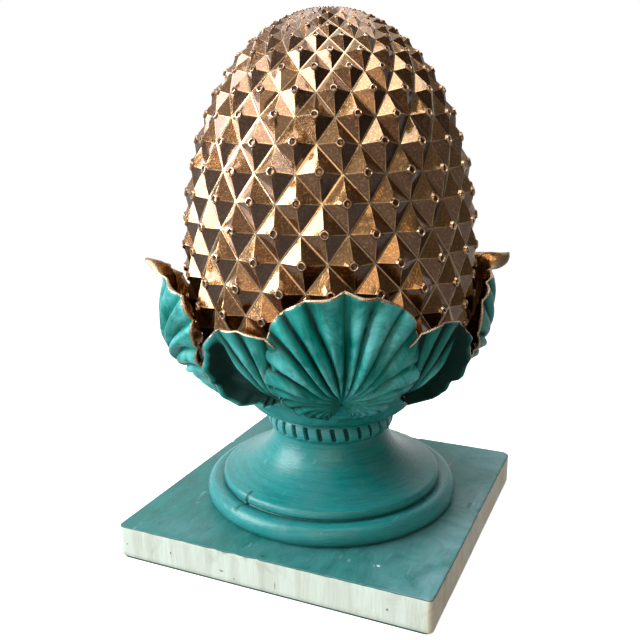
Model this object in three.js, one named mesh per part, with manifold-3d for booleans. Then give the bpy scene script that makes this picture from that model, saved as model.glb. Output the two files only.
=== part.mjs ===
// Pinecone finial: a bronze-glazed pinecone in a cup of eight leaves, on a turned foot and a square plinth.
// Millimetres, +Z up. The origin is the middle of the underside, and the plinth's front side faces -Y.

import * as THREE from 'three';
import { mergeVertices } from 'three/addons/utils/BufferGeometryUtils.js';
import Module from 'manifold-3d';

const wasm = await Module();
wasm.setup();

const degrees = THREE.MathUtils.degToRad;

// Felt and plinth
const FELT_THICKNESS = 1.5;
const FELT_INSET = 1.2;
const PLINTH_SIDE = 200;
const PLINTH_HEIGHT = 20;
const PLINTH_CORNER_RADIUS = 4;
const PLINTH_EDGE_ROUND = 0.8;
const PLINTH_TOP = FELT_THICKNESS + PLINTH_HEIGHT;
const CORNER_STEPS = 3;

// Turned foot, with heights above the plinth
const TORUS_RADIUS = 82;
const TORUS_HEIGHT = 12.8;
const TORUS_FOOT_RADIUS = 79.8;
const TORUS_WIDEST = 0.45;
const TORUS_FROM = degrees(-55);
const TORUS_TO = degrees(85);
const TORUS_STEPS = 4;
const HOLLOW_RADIUS = 70.2;
const STEP_RADIUS = 71.4;
const STEP_TOP_RADIUS = 70.5;
const STEP_BOTTOM = 13.4;
const STEP_TOP = 17.6;
const BELL_EDGE = [69.6, 18.1];
const BELL_HANDLES = [[54, 22], [39.5, 30]];
const BELL_STEPS = 5;
const NECK_RADIUS = 37.4;
const NECK_HEIGHT = 46.6;
const RING_RADIUS = 40.8;
const RING_TOP = 59;
const RING_TOP_RADIUS = 38.6;
const RING_ARC = degrees(62);
const RING_STEPS = 3;
const RING_SLOTS = 30;
const FIRST_SLOT = degrees(1.2);
const SLOT_WIDTH = 3;
const SLOT_HEIGHT = 8.2;
const SLOT_FLOOR_RADIUS = 38.4;
const FOOT_SIDES = 45;

// Pinecone, with heights above the plinth
const CONE_RADIUS = 91.2;
const CONE_BELLY = 158;
const CONE_TOP = 303;
const CONE_BOTTOM = 83;
const CONE_LOWER_REACH = 78;
const CONE_UPPER_POWER = 2.1;
const CONE_LOWER_POWER = 3;
const CONE_COLUMNS = 21;
const MARKED_ROW = 152.2;
const MARKED_ROW_ANGLE = degrees(23.4);
const CONE_TURN_PER_MM = degrees(-0.062);
const ROW_PITCH = 15.8;
const ROW_PITCH_RADIUS = 86;
const ROW_PITCH_POWER = 0.85;
const ROWS_BELOW_MARK = 4;
const CROWN_RADIUS = 12;
const SCALE_RELIEF = 6;
const WALK_STRIDE = 0.05;

// Leaf cup, with heights above the plinth
const CUP_REST_GAP = 0.3;
const CUP_CLEARANCE = 1;
const CUP_RIM = 98;
const BOWL_WALL = [[45, 61], [51.5, 64.5], [56, 72], [66.5, 81], [79.3, 92], [83.5, CUP_RIM]];
const CUP_SIDES = 28;
const CONE_SPACE_TOP = 190;
const CONE_SPACE_STEP = 6;

// Leaves. A midline runs up the middle of a leaf as distances from the axis and heights above the plinth.
const FIRST_LEAF = degrees(27.6);
const LEAF_PAIRS = 4;
const BIG_LEAF_SHAPES = [
  { turn: 0, lean: 0, curl: 0, tipReach: 0, squareness: 2.5, raise: 0 },
  { turn: degrees(5), lean: 0, curl: 7.5, tipReach: 9, squareness: 2.5, raise: 0 },
  { turn: degrees(2), lean: 0, curl: 0, tipReach: 8, squareness: 2.5, raise: 0 },
  { turn: degrees(6), lean: 2.5, curl: 2.5, tipReach: 9, squareness: 2.5, raise: 0 },
];
const SMALL_LEAF_SHAPES = [
  { turn: 0, lean: 0, curl: 0, tipReach: 0, squareness: 2.2, raise: 4 },
  { turn: 0, lean: 0, curl: 0, tipReach: 0, squareness: 2.8, raise: 0 },
  { turn: 0, lean: 0, curl: 0, tipReach: 0, squareness: 2.4, raise: 1 },
  { turn: 0, lean: 0, curl: 0, tipReach: 0, squareness: 2.8, raise: 0 },
];
const LEAN_MIDDLE = 42;
const LEAN_SPREAD = 22;
const CURL_FROM = 66;
const CURL_FULL = 78;
const CURL_DROP = 0.9;
const CUPPING_FROM = 12;
const CUPPING_FULL = 44;
const LEAF_THICKNESS = 3.2;
const LEAF_ROOT_DEPTH = 5;
const LEAF_ROOT_TOP = 14;
const BIG_LEAF = {
  midline: [
    [58, 70], [69, 79], [81, 90], [88, 97.5], [94.5, 106.5],
    [98.5, 118], [101, 134], [101, 147], [104.5, 155], [114, 161],
  ],
  stem: 2,
  middle: [0, 27],
  halfWidth: 45,
  halfHeight: 43,
  cupping: 6.5,
  wrapRadius: 98,
  pleatAngle: degrees(7.5),
  pleatedTo: degrees(105),
  notch: degrees(150),
  pleatHeight: 1.7,
  creaseDepth: 3.2,
  puff: 2.4,
  rings: 3,
};
const SMALL_LEAF = {
  midline: [[58, 72], [69, 80.5], [79, 90], [86.5, 98.5], [92, 110], [97, 124], [101.5, 136]],
  stem: 2,
  middle: [17, 21],
  halfWidth: 27.5,
  halfHeight: 25.5,
  cupping: 2,
  wrapRadius: 98,
  pleatAngle: degrees(12.5),
  pleatedTo: degrees(112.5),
  notch: degrees(150),
  pleatHeight: 1.4,
  creaseDepth: 0,
  puff: 0,
  rings: 3,
};
const SMALL_LEAF_OFFSET = degrees(20.2);
const CREASE_ANGLE = degrees(7);
const TIP_ANGLE = degrees(11);
const PLAIN_RAYS = 2;
const REACH_PRECISION = 0.01;
const ROLL_FROM = degrees(37.5);
const ROLL_BLEND = degrees(12.5);
const ROLL_FULL_TO = degrees(85);
const ROLL_LOW_FROM = degrees(125);
const ROLL_HOLLOW = 5;
const ROLL_HOLLOW_STRETCH = 1.15;
const ROLL_RISE = 4.5;
const ROLL_LOWERING = 0.8;
const RUFFLE_HEIGHT = 1.6;
const RUFFLES = 1.05;

// Glaze, paint and felt
const bronze = new THREE.MeshStandardMaterial({ color: '#8a6436', roughness: 0.32, metalness: 0.7 });
const teal = new THREE.MeshStandardMaterial({ color: '#2c8f88', roughness: 0.5, metalness: 0 });
const cream = new THREE.MeshStandardMaterial({ color: '#e6ede0', roughness: 0.55, metalness: 0 });
const greenFelt = new THREE.MeshStandardMaterial({ color: '#1f4a36', roughness: 0.95, metalness: 0 });

// Merges the shared corners and drops triangles that have shrunk to a line
function weld(geometry) {
  const bare = geometry.clone();
  bare.deleteAttribute('normal');
  bare.deleteAttribute('uv');
  const merged = mergeVertices(bare);
  const corners = merged.index.array;
  const kept = [];
  for (let first = 0; first < corners.length; first += 3) {
    const [a, b, c] = corners.slice(first, first + 3);
    if (a !== b && b !== c && c !== a) kept.push(a, b, c);
  }
  merged.setIndex(kept);
  return merged;
}

function toSolid(geometry) {
  const welded = weld(geometry);
  const vertProperties = new Float32Array(welded.attributes.position.array);
  const triVerts = new Uint32Array(welded.index.array);
  return new wasm.Manifold(new wasm.Mesh({ numProp: 3, vertProperties, triVerts }));
}

function toGeometry(solid) {
  const { vertProperties, triVerts } = solid.getMesh();
  const geometry = new THREE.BufferGeometry();
  geometry.setAttribute('position', new THREE.BufferAttribute(vertProperties, 3));
  geometry.setIndex(new THREE.BufferAttribute(triVerts, 1));
  return geometry;
}

function fromLists(positions, triangles) {
  const geometry = new THREE.BufferGeometry();
  geometry.setAttribute('position', new THREE.Float32BufferAttribute(positions, 3));
  geometry.setIndex(triangles);
  return geometry;
}

function points2D(pairs) {
  return pairs.map(([radius, height]) => new THREE.Vector2(radius, height));
}

// Turns a profile of [radius, height] pairs around the upright axis
function turned(profile, sides) {
  return new THREE.LatheGeometry(points2D(profile), sides).rotateX(Math.PI / 2);
}

// A place given by its distance from the axis, its angle from the front towards +X, and its height
function aroundAxis(radius, angle, height) {
  return [radius * Math.sin(angle), -radius * Math.cos(angle), height];
}

// Felt pad and plinth

function roundedSquare(side, radius) {
  const half = side / 2;
  const shape = new THREE.Shape();
  shape.moveTo(-half + radius, -half);
  shape.lineTo(half - radius, -half);
  shape.absarc(half - radius, -half + radius, radius, -Math.PI / 2, 0);
  shape.absarc(half - radius, half - radius, radius, 0, Math.PI / 2);
  shape.absarc(-half + radius, half - radius, radius, Math.PI / 2, Math.PI);
  shape.absarc(-half + radius, -half + radius, radius, Math.PI, Math.PI * 1.5);
  return shape;
}

function feltPad() {
  const outline = roundedSquare(PLINTH_SIDE - 2 * FELT_INSET, PLINTH_CORNER_RADIUS);
  const settings = { depth: FELT_THICKNESS, bevelEnabled: false, curveSegments: CORNER_STEPS };
  return new THREE.ExtrudeGeometry(outline, settings);
}

function plinth() {
  const topSide = PLINTH_SIDE - 2 * PLINTH_EDGE_ROUND;
  const inner = roundedSquare(topSide, PLINTH_CORNER_RADIUS - PLINTH_EDGE_ROUND);
  return new THREE.ExtrudeGeometry(inner, {
    depth: PLINTH_HEIGHT - 2 * PLINTH_EDGE_ROUND,
    bevelThickness: PLINTH_EDGE_ROUND,
    bevelSize: PLINTH_EDGE_ROUND,
    bevelSegments: 1,
    curveSegments: CORNER_STEPS,
  }).translate(0, 0, FELT_THICKNESS + PLINTH_EDGE_ROUND);
}

// Turned foot: torus, step, bell and a ring of slots

function torusArc() {
  const middle = TORUS_HEIGHT * TORUS_WIDEST;
  const centre = TORUS_RADIUS - middle;
  const arc = [];
  for (let step = 0; step <= TORUS_STEPS; step++) {
    const turn = THREE.MathUtils.lerp(TORUS_FROM, TORUS_TO, step / TORUS_STEPS);
    const rise = Math.sin(turn) > 0 ? TORUS_HEIGHT - middle : middle;
    arc.push([centre + middle * Math.cos(turn), middle + rise * Math.sin(turn)]);
  }
  return arc;
}

function bellCurve() {
  const ends = points2D([BELL_EDGE, ...BELL_HANDLES, [NECK_RADIUS, NECK_HEIGHT]]);
  const curve = new THREE.CubicBezierCurve(...ends);
  return curve.getPoints(BELL_STEPS).map((point) => [point.x, point.y]);
}

function ringArc() {
  const arc = [];
  for (let step = 0; step <= RING_STEPS; step++) {
    const up = step / RING_STEPS;
    const turn = THREE.MathUtils.lerp(-RING_ARC, RING_ARC, up);
    const swell = (Math.cos(turn) - Math.cos(RING_ARC)) / (1 - Math.cos(RING_ARC));
    const radius = THREE.MathUtils.lerp(RING_TOP_RADIUS, RING_RADIUS, swell);
    arc.push([radius, THREE.MathUtils.lerp(NECK_HEIGHT, RING_TOP, up)]);
  }
  return arc;
}

function foot() {
  const profile = [
    [0, 0],
    [TORUS_FOOT_RADIUS, 0],
    ...torusArc(),
    [HOLLOW_RADIUS, TORUS_HEIGHT],
    [STEP_RADIUS, STEP_BOTTOM],
    [STEP_TOP_RADIUS, STEP_TOP],
    ...bellCurve(),
    ...ringArc(),
    [0, RING_TOP],
  ];
  let solid = toSolid(turned(profile, FOOT_SIDES));
  const cutterLength = 2 * RING_RADIUS;
  for (let slot = 0; slot < RING_SLOTS; slot++) {
    const angle = FIRST_SLOT + (slot * 2 * Math.PI) / RING_SLOTS;
    const cutter = new THREE.BoxGeometry(SLOT_WIDTH, cutterLength, SLOT_HEIGHT);
    cutter.translate(0, -SLOT_FLOOR_RADIUS - cutterLength / 2, (NECK_HEIGHT + RING_TOP) / 2);
    cutter.rotateZ(angle);
    solid = solid.subtract(toSolid(cutter));
  }
  return toGeometry(solid).translate(0, 0, PLINTH_TOP);
}

// Pinecone: rings of four-sided scales, each a low pyramid between its neighbours

function coneRadius(height) {
  if (height >= CONE_BELLY) {
    const along = Math.min((height - CONE_BELLY) / (CONE_TOP - CONE_BELLY), 1);
    return CONE_RADIUS * (1 - along ** CONE_UPPER_POWER) ** (1 / CONE_UPPER_POWER);
  }
  const along = Math.min((CONE_BELLY - height) / CONE_LOWER_REACH, 1);
  return CONE_RADIUS * (1 - along ** CONE_LOWER_POWER) ** (1 / CONE_LOWER_POWER);
}

// Walks a distance along the cone's outline from one height, upwards or downwards
function walkOutline(height, distance) {
  const stride = WALK_STRIDE * Math.sign(distance);
  let walked = 0;
  let reached = height;
  while (walked < Math.abs(distance) && reached < CONE_TOP - 2 * WALK_STRIDE) {
    walked += Math.hypot(stride, coneRadius(reached + stride) - coneRadius(reached));
    reached += stride;
  }
  return reached;
}

function rowPitch(height) {
  return ROW_PITCH * Math.min(1, coneRadius(height) / ROW_PITCH_RADIUS) ** ROW_PITCH_POWER;
}

function rowHeights() {
  const heights = [MARKED_ROW];
  for (let row = 0; row < ROWS_BELOW_MARK; row++) {
    heights.unshift(walkOutline(heights[0], -rowPitch(heights[0])));
  }
  while (coneRadius(heights.at(-1)) > CROWN_RADIUS) {
    heights.push(walkOutline(heights.at(-1), rowPitch(heights.at(-1))));
  }
  return heights.slice(0, -1);
}

// The outline's point at a height, sunk below the outline by a depth
function outlinePoint(height, depth) {
  const nudge = 0.2;
  const slope = (coneRadius(height + nudge) - coneRadius(height - nudge)) / (2 * nudge);
  const length = Math.hypot(1, slope);
  return [coneRadius(height) - depth / length, height + (depth * slope) / length];
}

function pinecone() {
  const heights = rowHeights();
  const around = CONE_COLUMNS * 2;
  const positions = [];
  const triangles = [];
  const addRing = (height, depthOf) => {
    for (let column = 0; column < around; column++) {
      const drift = CONE_TURN_PER_MM * (height - MARKED_ROW);
      const angle = MARKED_ROW_ANGLE + (column * Math.PI) / CONE_COLUMNS + drift;
      const [radius, level] = outlinePoint(height, depthOf(column));
      positions.push(...aroundAxis(radius, angle, level));
    }
  };
  const isTip = (row, column) => (row + column + ROWS_BELOW_MARK) % 2 === 0;
  addRing(CONE_BOTTOM, () => 0);
  heights.forEach((height, row) => {
    const relief = (SCALE_RELIEF * rowPitch(height)) / ROW_PITCH;
    addRing(height, (column) => (isTip(row, column) ? 0 : relief));
  });
  const rings = heights.length + 1;
  for (let ring = 0; ring < rings - 1; ring++) {
    for (let column = 0; column < around; column++) {
      const next = (column + 1) % around;
      const lower = [ring * around + column, ring * around + next];
      const upper = [lower[0] + around, lower[1] + around];
      const valleyRises = isTip(ring, column);
      if (valleyRises) triangles.push(lower[0], lower[1], upper[1], lower[0], upper[1], upper[0]);
      else triangles.push(lower[0], lower[1], upper[0], lower[1], upper[1], upper[0]);
    }
  }
  const bottom = positions.length / 3;
  positions.push(0, 0, CONE_BOTTOM, 0, 0, CONE_TOP);
  const crown = bottom + 1;
  for (let column = 0; column < around; column++) {
    const next = (column + 1) % around;
    const last = (rings - 1) * around;
    triangles.push(bottom, next, column, crown, last + column, last + next);
  }
  return fromLists(positions, triangles).translate(0, 0, PLINTH_TOP);
}

// Leaf cup: a turned bowl with eight pleated leaves standing on its outside

function bowl() {
  return turned([[0, RING_TOP], [RING_TOP_RADIUS, RING_TOP], ...BOWL_WALL, [0, CUP_RIM]], CUP_SIDES);
}

// The room that the cone takes up inside the cup, with its clearance
function coneSpace() {
  const floor = CONE_BOTTOM - CUP_REST_GAP;
  const wall = [];
  for (let height = floor; height < CONE_SPACE_TOP; height += CONE_SPACE_STEP) {
    wall.push([coneRadius(height) + CUP_CLEARANCE, height]);
  }
  return turned([[0, floor], ...wall, [0, wall.at(-1)[1]]], CUP_SIDES);
}

// How far a leaf reaches from its stem, at an angle from straight up
function leafReach(leaf, shape, angle) {
  let near = 0;
  let far = 2 * (leaf.halfWidth + leaf.halfHeight);
  while (far - near > REACH_PRECISION) {
    const reach = (near + far) / 2;
    const across = Math.abs((reach * Math.sin(angle) - leaf.middle[0]) / leaf.halfWidth);
    const along = Math.abs((reach * Math.cos(angle) - leaf.middle[1] - shape.raise) / leaf.halfHeight);
    if (across ** shape.squareness + along ** shape.squareness < 1) near = reach;
    else far = reach;
  }
  return near + shape.tipReach * Math.exp(-((angle / TIP_ANGLE) ** 2));
}

// How far a leaf's skin stands out at a place: its pleats, its middle crease and its puffed lobes
function pleatRelief(leaf, angle, outward) {
  const fadeWidth = 2 * leaf.pleatAngle;
  const fade = THREE.MathUtils.smoothstep(leaf.pleatedTo + fadeWidth - Math.abs(angle), 0, fadeWidth);
  const pleats = -leaf.pleatHeight * outward * fade * Math.cos((Math.PI * angle) / leaf.pleatAngle);
  const crease = -leaf.creaseDepth * Math.exp(-((angle / CREASE_ANGLE) ** 2)) * Math.min(1, outward * 2);
  const puff = leaf.puff * Math.sin(Math.PI * outward) * Math.abs(Math.sin(angle));
  return pleats + crease + puff;
}

// The rolled half of a small leaf: a deep hollow inside a ruffled margin that flares out
function rollRelief(angle, outward) {
  const turn = (angle - ROLL_FROM) / ROLL_BLEND;
  const into = THREE.MathUtils.smoothstep(turn, 0, 1);
  const hollow = -ROLL_HOLLOW * Math.sin(Math.PI * Math.min(1, outward * ROLL_HOLLOW_STRETCH));
  const ruffle = RUFFLE_HEIGHT * Math.sin(turn * Math.PI * RUFFLES);
  const lowering = ROLL_LOWERING * THREE.MathUtils.smoothstep(angle, ROLL_FULL_TO, ROLL_LOW_FROM);
  const rise = ROLL_RISE * (1 - lowering);
  return into * (hollow + rise * outward ** 4 + ruffle * outward ** 3);
}

// A leaf's outer face is 1 and its inner face -1. The inner one thickens towards the root, inside the bowl.
function skinLift(face, up) {
  const root = LEAF_ROOT_DEPTH * (1 - THREE.MathUtils.smoothstep(up, 0, LEAF_ROOT_TOP));
  return face > 0 ? LEAF_THICKNESS / 2 : -LEAF_THICKNESS / 2 - root;
}

function leafAngles(leaf) {
  const angles = [];
  const pleats = Math.round(leaf.pleatedTo / leaf.pleatAngle);
  for (let pleat = 0; pleat <= pleats; pleat++) angles.push(pleat * leaf.pleatAngle);
  for (let ray = 1; ray <= PLAIN_RAYS; ray++) {
    angles.push(THREE.MathUtils.lerp(leaf.pleatedTo, leaf.notch, ray / PLAIN_RAYS));
  }
  return [...angles.slice(1).map((angle) => -angle).reverse(), ...angles];
}

// One leaf with its stem at an angle round the cup. Its side is -1 for a mirrored leaf.
// Its shape says how far it is turned from its even place, how far its belly leans out, its tip curls over
// and reaches, how square its outline is, and how far it is raised on its stem.
function leafShell(leaf, shape, stemAngle, side) {
  const midline = new THREE.SplineCurve(points2D(leaf.midline));
  const lengths = midline.getLengths(leaf.midline.length - 1);
  const total = lengths.at(-1);
  const angles = leafAngles(leaf);
  if (side < 0) angles.reverse();
  const positions = [];
  const place = (across, up, lift) => {
    const along = THREE.MathUtils.clamp((lengths[leaf.stem] + up) / total, 0, 1);
    const point = midline.getPointAt(along);
    const tangent = midline.getTangentAt(along);
    const turn = stemAngle + shape.turn + across / leaf.wrapRadius;
    const lean = shape.lean * Math.exp(-(((up - LEAN_MIDDLE) / LEAN_SPREAD) ** 2));
    const curl = shape.curl * THREE.MathUtils.smoothstep(up, CURL_FROM, CURL_FULL);
    const rising = THREE.MathUtils.smoothstep(up, CUPPING_FROM, CUPPING_FULL);
    const cupping = leaf.cupping * (across / leaf.halfWidth) ** 2 * rising;
    const radius = point.x + lean + curl - cupping + lift * tangent.y;
    positions.push(...aroundAxis(radius, turn, point.y - CURL_DROP * curl - lift * tangent.x));
  };
  for (const face of [1, -1]) {
    place(0, 0, skinLift(face, 0));
    for (const angle of angles) {
      const reach = leafReach(leaf, shape, angle);
      for (let ring = 1; ring <= leaf.rings; ring++) {
        const outward = ring / leaf.rings;
        const rolled = leaf === SMALL_LEAF && angle > ROLL_FROM;
        const relief = rolled ? rollRelief(angle, outward) : pleatRelief(leaf, angle, outward);
        const up = reach * outward * Math.cos(angle);
        place(reach * outward * Math.sin(angle) * side, up, skinLift(face, up) + relief);
      }
    }
  }
  return closedShell(positions, angles.length, leaf.rings);
}

// Joins a leaf's outer and inner skins, each a fan of rays from the stem, into one closed body
function closedShell(positions, rays, rings) {
  const skinSize = 1 + rays * rings;
  const at = (skin, ray, ring) => skin * skinSize + (ring === 0 ? 0 : 1 + ray * rings + ring - 1);
  const triangles = [];
  const quad = (a, b, c, d) => triangles.push(a, b, c, a, c, d);
  for (let ray = 0; ray < rays - 1; ray++) {
    triangles.push(at(0, ray, 0), at(0, ray + 1, 1), at(0, ray, 1));
    triangles.push(at(1, ray, 0), at(1, ray, 1), at(1, ray + 1, 1));
    for (let ring = 1; ring < rings; ring++) {
      quad(at(0, ray, ring), at(0, ray + 1, ring), at(0, ray + 1, ring + 1), at(0, ray, ring + 1));
      quad(at(1, ray, ring), at(1, ray, ring + 1), at(1, ray + 1, ring + 1), at(1, ray + 1, ring));
    }
    quad(at(0, ray, rings), at(0, ray + 1, rings), at(1, ray + 1, rings), at(1, ray, rings));
  }
  for (let ring = 0; ring < rings; ring++) {
    const last = rays - 1;
    quad(at(0, 0, ring), at(0, 0, ring + 1), at(1, 0, ring + 1), at(1, 0, ring));
    quad(at(0, last, ring + 1), at(0, last, ring), at(1, last, ring), at(1, last, ring + 1));
  }
  return fromLists(positions, triangles);
}

function leafCup() {
  let solid = toSolid(bowl());
  for (let pair = 0; pair < LEAF_PAIRS; pair++) {
    const bigAngle = FIRST_LEAF + (pair * 2 * Math.PI) / LEAF_PAIRS;
    const side = pair % 2 === 0 ? 1 : -1;
    const smallAngle = bigAngle + Math.PI / LEAF_PAIRS - side * SMALL_LEAF_OFFSET;
    solid = solid.add(toSolid(leafShell(BIG_LEAF, BIG_LEAF_SHAPES[pair], bigAngle, 1)));
    solid = solid.add(toSolid(leafShell(SMALL_LEAF, SMALL_LEAF_SHAPES[pair], smallAngle, side)));
  }
  solid = solid.subtract(toSolid(coneSpace()));
  return toGeometry(solid).translate(0, 0, PLINTH_TOP);
}

const finial = new THREE.Group();

function addPiece(name, geometry, material) {
  const mesh = new THREE.Mesh(geometry, material);
  mesh.name = name;
  finial.add(mesh);
}

addPiece('felt_pad', feltPad(), greenFelt);
addPiece('plinth', plinth(), cream);
addPiece('turned_foot', foot(), teal);
addPiece('leaf_cup', leafCup(), teal);
addPiece('pinecone', pinecone(), bronze);

export default finial;
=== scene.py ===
import math
import random

import bpy
import numpy as np
from mathutils import Matrix, Vector, noise


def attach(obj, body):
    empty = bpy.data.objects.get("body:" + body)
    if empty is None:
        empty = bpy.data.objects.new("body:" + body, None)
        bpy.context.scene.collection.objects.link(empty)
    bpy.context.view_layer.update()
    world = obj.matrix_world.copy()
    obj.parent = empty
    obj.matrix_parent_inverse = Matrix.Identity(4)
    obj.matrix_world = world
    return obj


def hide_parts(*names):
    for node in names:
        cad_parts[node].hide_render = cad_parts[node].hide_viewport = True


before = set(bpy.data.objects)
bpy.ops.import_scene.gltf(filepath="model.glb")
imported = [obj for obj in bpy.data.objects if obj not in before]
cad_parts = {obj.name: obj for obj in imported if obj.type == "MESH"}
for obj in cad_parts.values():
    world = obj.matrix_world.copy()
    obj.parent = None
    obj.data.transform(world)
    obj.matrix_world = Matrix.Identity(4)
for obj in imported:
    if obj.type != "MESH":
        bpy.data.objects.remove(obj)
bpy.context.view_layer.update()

# Felt pad
# A sheet of dark green felt glued under the plinth, cut a little smaller than it.
# It keeps the solid's own shape and gets a fibrous finish.


def new_material(name):
    material = bpy.data.materials.new(name)
    material.use_nodes = True
    tree = material.node_tree
    tree.nodes.clear()
    shader = tree.nodes.new("ShaderNodeBsdfPrincipled")
    output = tree.nodes.new("ShaderNodeOutputMaterial")
    tree.links.new(shader.outputs["BSDF"], output.inputs["Surface"])
    return material, tree, shader


def feed(node, key, value):
    """Links another node's socket to a node's input, or sets the input to a plain value."""
    if isinstance(value, bpy.types.NodeSocket):
        node.id_data.links.new(value, node.inputs[key])
    else:
        node.inputs[key].default_value = value


def add_node(tree, kind, inputs=None, **settings):
    node = tree.nodes.new("ShaderNode" + kind)
    for key, value in settings.items():
        setattr(node, key, value)
    for key, value in (inputs or {}).items():
        feed(node, key, value)
    return node


def follow(kind, inputs, **settings):
    """The outputs of a new node in the tree that its first linked input comes from."""
    linked = [value for value in inputs.values() if isinstance(value, bpy.types.NodeSocket)]
    return add_node(linked[0].id_data, kind, inputs, **settings).outputs


def object_place(tree):
    return add_node(tree, "TexCoord").outputs["Object"]


def noise_value(place, scale, detail=4.0, roughness=0.55, distortion=0.0):
    inputs = {"Vector": place, "Scale": scale, "Detail": detail}
    inputs |= {"Roughness": roughness, "Distortion": distortion}
    return follow("TexNoise", inputs)[0]


def spread(value, low, high, to_low=0.0, to_high=1.0):
    """The value's stretch from low to high, spread over the new stretch and held at its ends."""
    inputs = {"Value": value, "From Min": low, "From Max": high, "To Min": to_low, "To Max": to_high}
    return follow("MapRange", inputs)[0]


def calculate(operation, first, second=0.0):
    return follow("Math", {0: first, 1: second}, operation=operation)[0]


def times(first, second):
    return calculate("MULTIPLY", first, second)


def plus(first, second):
    return calculate("ADD", first, second)


def mix_colours(amount, first, second):
    return follow("Mix", {0: amount, 6: first, 7: second}, data_type="RGBA")[2]


def mix_values(amount, first, second):
    return follow("Mix", {0: amount, 2: first, 3: second}, data_type="FLOAT")[0]


def bump(height, distance, under=None):
    inputs = {"Height": height, "Distance": distance, "Strength": 1.0}
    if under is not None:
        inputs["Normal"] = under
    return follow("Bump", inputs)["Normal"]


def colour(red, green, blue):
    """A shader colour from the 0 to 255 values that a screen shows."""
    parts = [value / 255 for value in (red, green, blue)]
    return (*[p / 12.92 if p <= 0.04045 else ((p + 0.055) / 1.055) ** 2.4 for p in parts], 1.0)


FELT_DEEP = colour(0, 66, 46)
FELT_PALE = colour(12, 104, 76)
FELT_FIBRES = 1600.0
FELT_CLUMPS = 260.0


def felt_material():
    material, tree, shader = new_material("green_felt_fibres")
    place = object_place(tree)
    fibres = noise_value(place, FELT_FIBRES, detail=6.0, roughness=0.7, distortion=1.5)
    clumps = noise_value(place, FELT_CLUMPS, detail=3.0)
    tone = plus(times(fibres, 0.6), times(clumps, 0.4))
    feed(shader, "Base Color", mix_colours(tone, FELT_DEEP, FELT_PALE))
    feed(shader, "Roughness", 0.95)
    feed(shader, "Sheen Weight", 0.15)
    feed(shader, "Normal", bump(fibres, 0.0004))
    return material


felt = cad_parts["felt_pad"]
felt.data.materials.clear()
felt.data.materials.append(felt_material())

# Plinth
# A square cast slab that the foot stands on, its top painted teal and its sides left cream.
# The paint is brushed on by hand, up to worn, softly rounded edges with a few chips.

MM = 0.001
FELT_THICKNESS = 1.5
PLINTH_HALF = 100.0
PLINTH_TOP = 21.5
PLINTH_EDGE = 0.9
PLINTH_EDGE_STEPS = 4
PLINTH_SIDE_STEPS = 120
PLINTH_CORNER_STEPS = 8
PLINTH_LOWER_EDGE = 0.5
PLINTH_HEIGHT_STEP = 2.3
PLINTH_TOP_INSETS = [1.6, 2.6, 4.2, 6.5, 9.5, 13.5, 18.5, 25.0, 33.0, 44.0, 60.0, 80.0]
PLINTH_WARP = 0.25
PLINTH_DENTS = 0.1
LEAST_CORNER = 0.4
QUARTER_TURN = math.pi / 2
# Radii from the front left corner anticlockwise.
PLINTH_CORNERS = [4.0, 3.0, 6.0, 4.0]
# Each chip's place, its size and its depth.
PLINTH_CHIPS = [
    (99.5, -96.0, 21.2, 3.0, 1.0),
    (100.0, -72.0, 21.3, 2.2, 0.5),
    (99.5, 3.0, 21.2, 3.5, 0.7),
    (99.5, 30.0, 21.2, 2.5, 0.5),
    (99.5, 58.0, 21.2, 2.0, 0.5),
    (-60.0, -100.0, 21.2, 1.8, 0.35),
    (30.0, 100.0, 21.2, 2.5, 0.6),
    (-100.0, 40.0, 21.0, 3.0, 0.6),
]


def new_piece(name, points, faces, material, node, coats=None, strokes=None):
    """A mesh from points in millimetres, riding on the body and standing for a CAD node."""
    mesh = bpy.data.meshes.new(name)
    mesh.from_pydata([tuple(value * MM for value in point) for point in points], [], faces)
    mesh.polygons.foreach_set("use_smooth", [True] * len(mesh.polygons))
    mesh.materials.append(material)
    for label, values, kind in [("coat", coats, "FLOAT"), ("stroke_place", strokes, "FLOAT_VECTOR")]:
        if values is not None:
            attribute = mesh.attributes.new(label, kind, "POINT")
            field = "value" if kind == "FLOAT" else "vector"
            attribute.data.foreach_set(field, np.array(values, np.float32).ravel())
    mesh.update()
    piece = bpy.data.objects.new(name, mesh)
    bpy.context.scene.collection.objects.link(piece)
    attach(piece, "root")
    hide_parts(node)
    return piece


def wobble(point, size, seed=0.0):
    """Smooth noise between about -1 and 1, with swells of the given size."""
    return noise.noise(Vector(point) / size + Vector((seed, seed * 1.7, -seed)))


def tube_faces(rings, around):
    """Quads between rings of points that follow each other outwards or upwards, and both end caps."""
    faces = []
    for ring in range(rings - 1):
        for step in range(around):
            following = (step + 1) % around
            low = ring * around
            high = low + around
            faces.append((low + step, low + following, high + following, high + step))
    faces.append(tuple(reversed(range(around))))
    faces.append(tuple(range((rings - 1) * around, rings * around)))
    return faces


def smooth_step(value, low, high):
    """0 below the low value, 1 above the high one, and an even curve between them."""
    share = min(max((value - low) / (high - low), 0.0), 1.0)
    return share * share * (3 - 2 * share)


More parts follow.
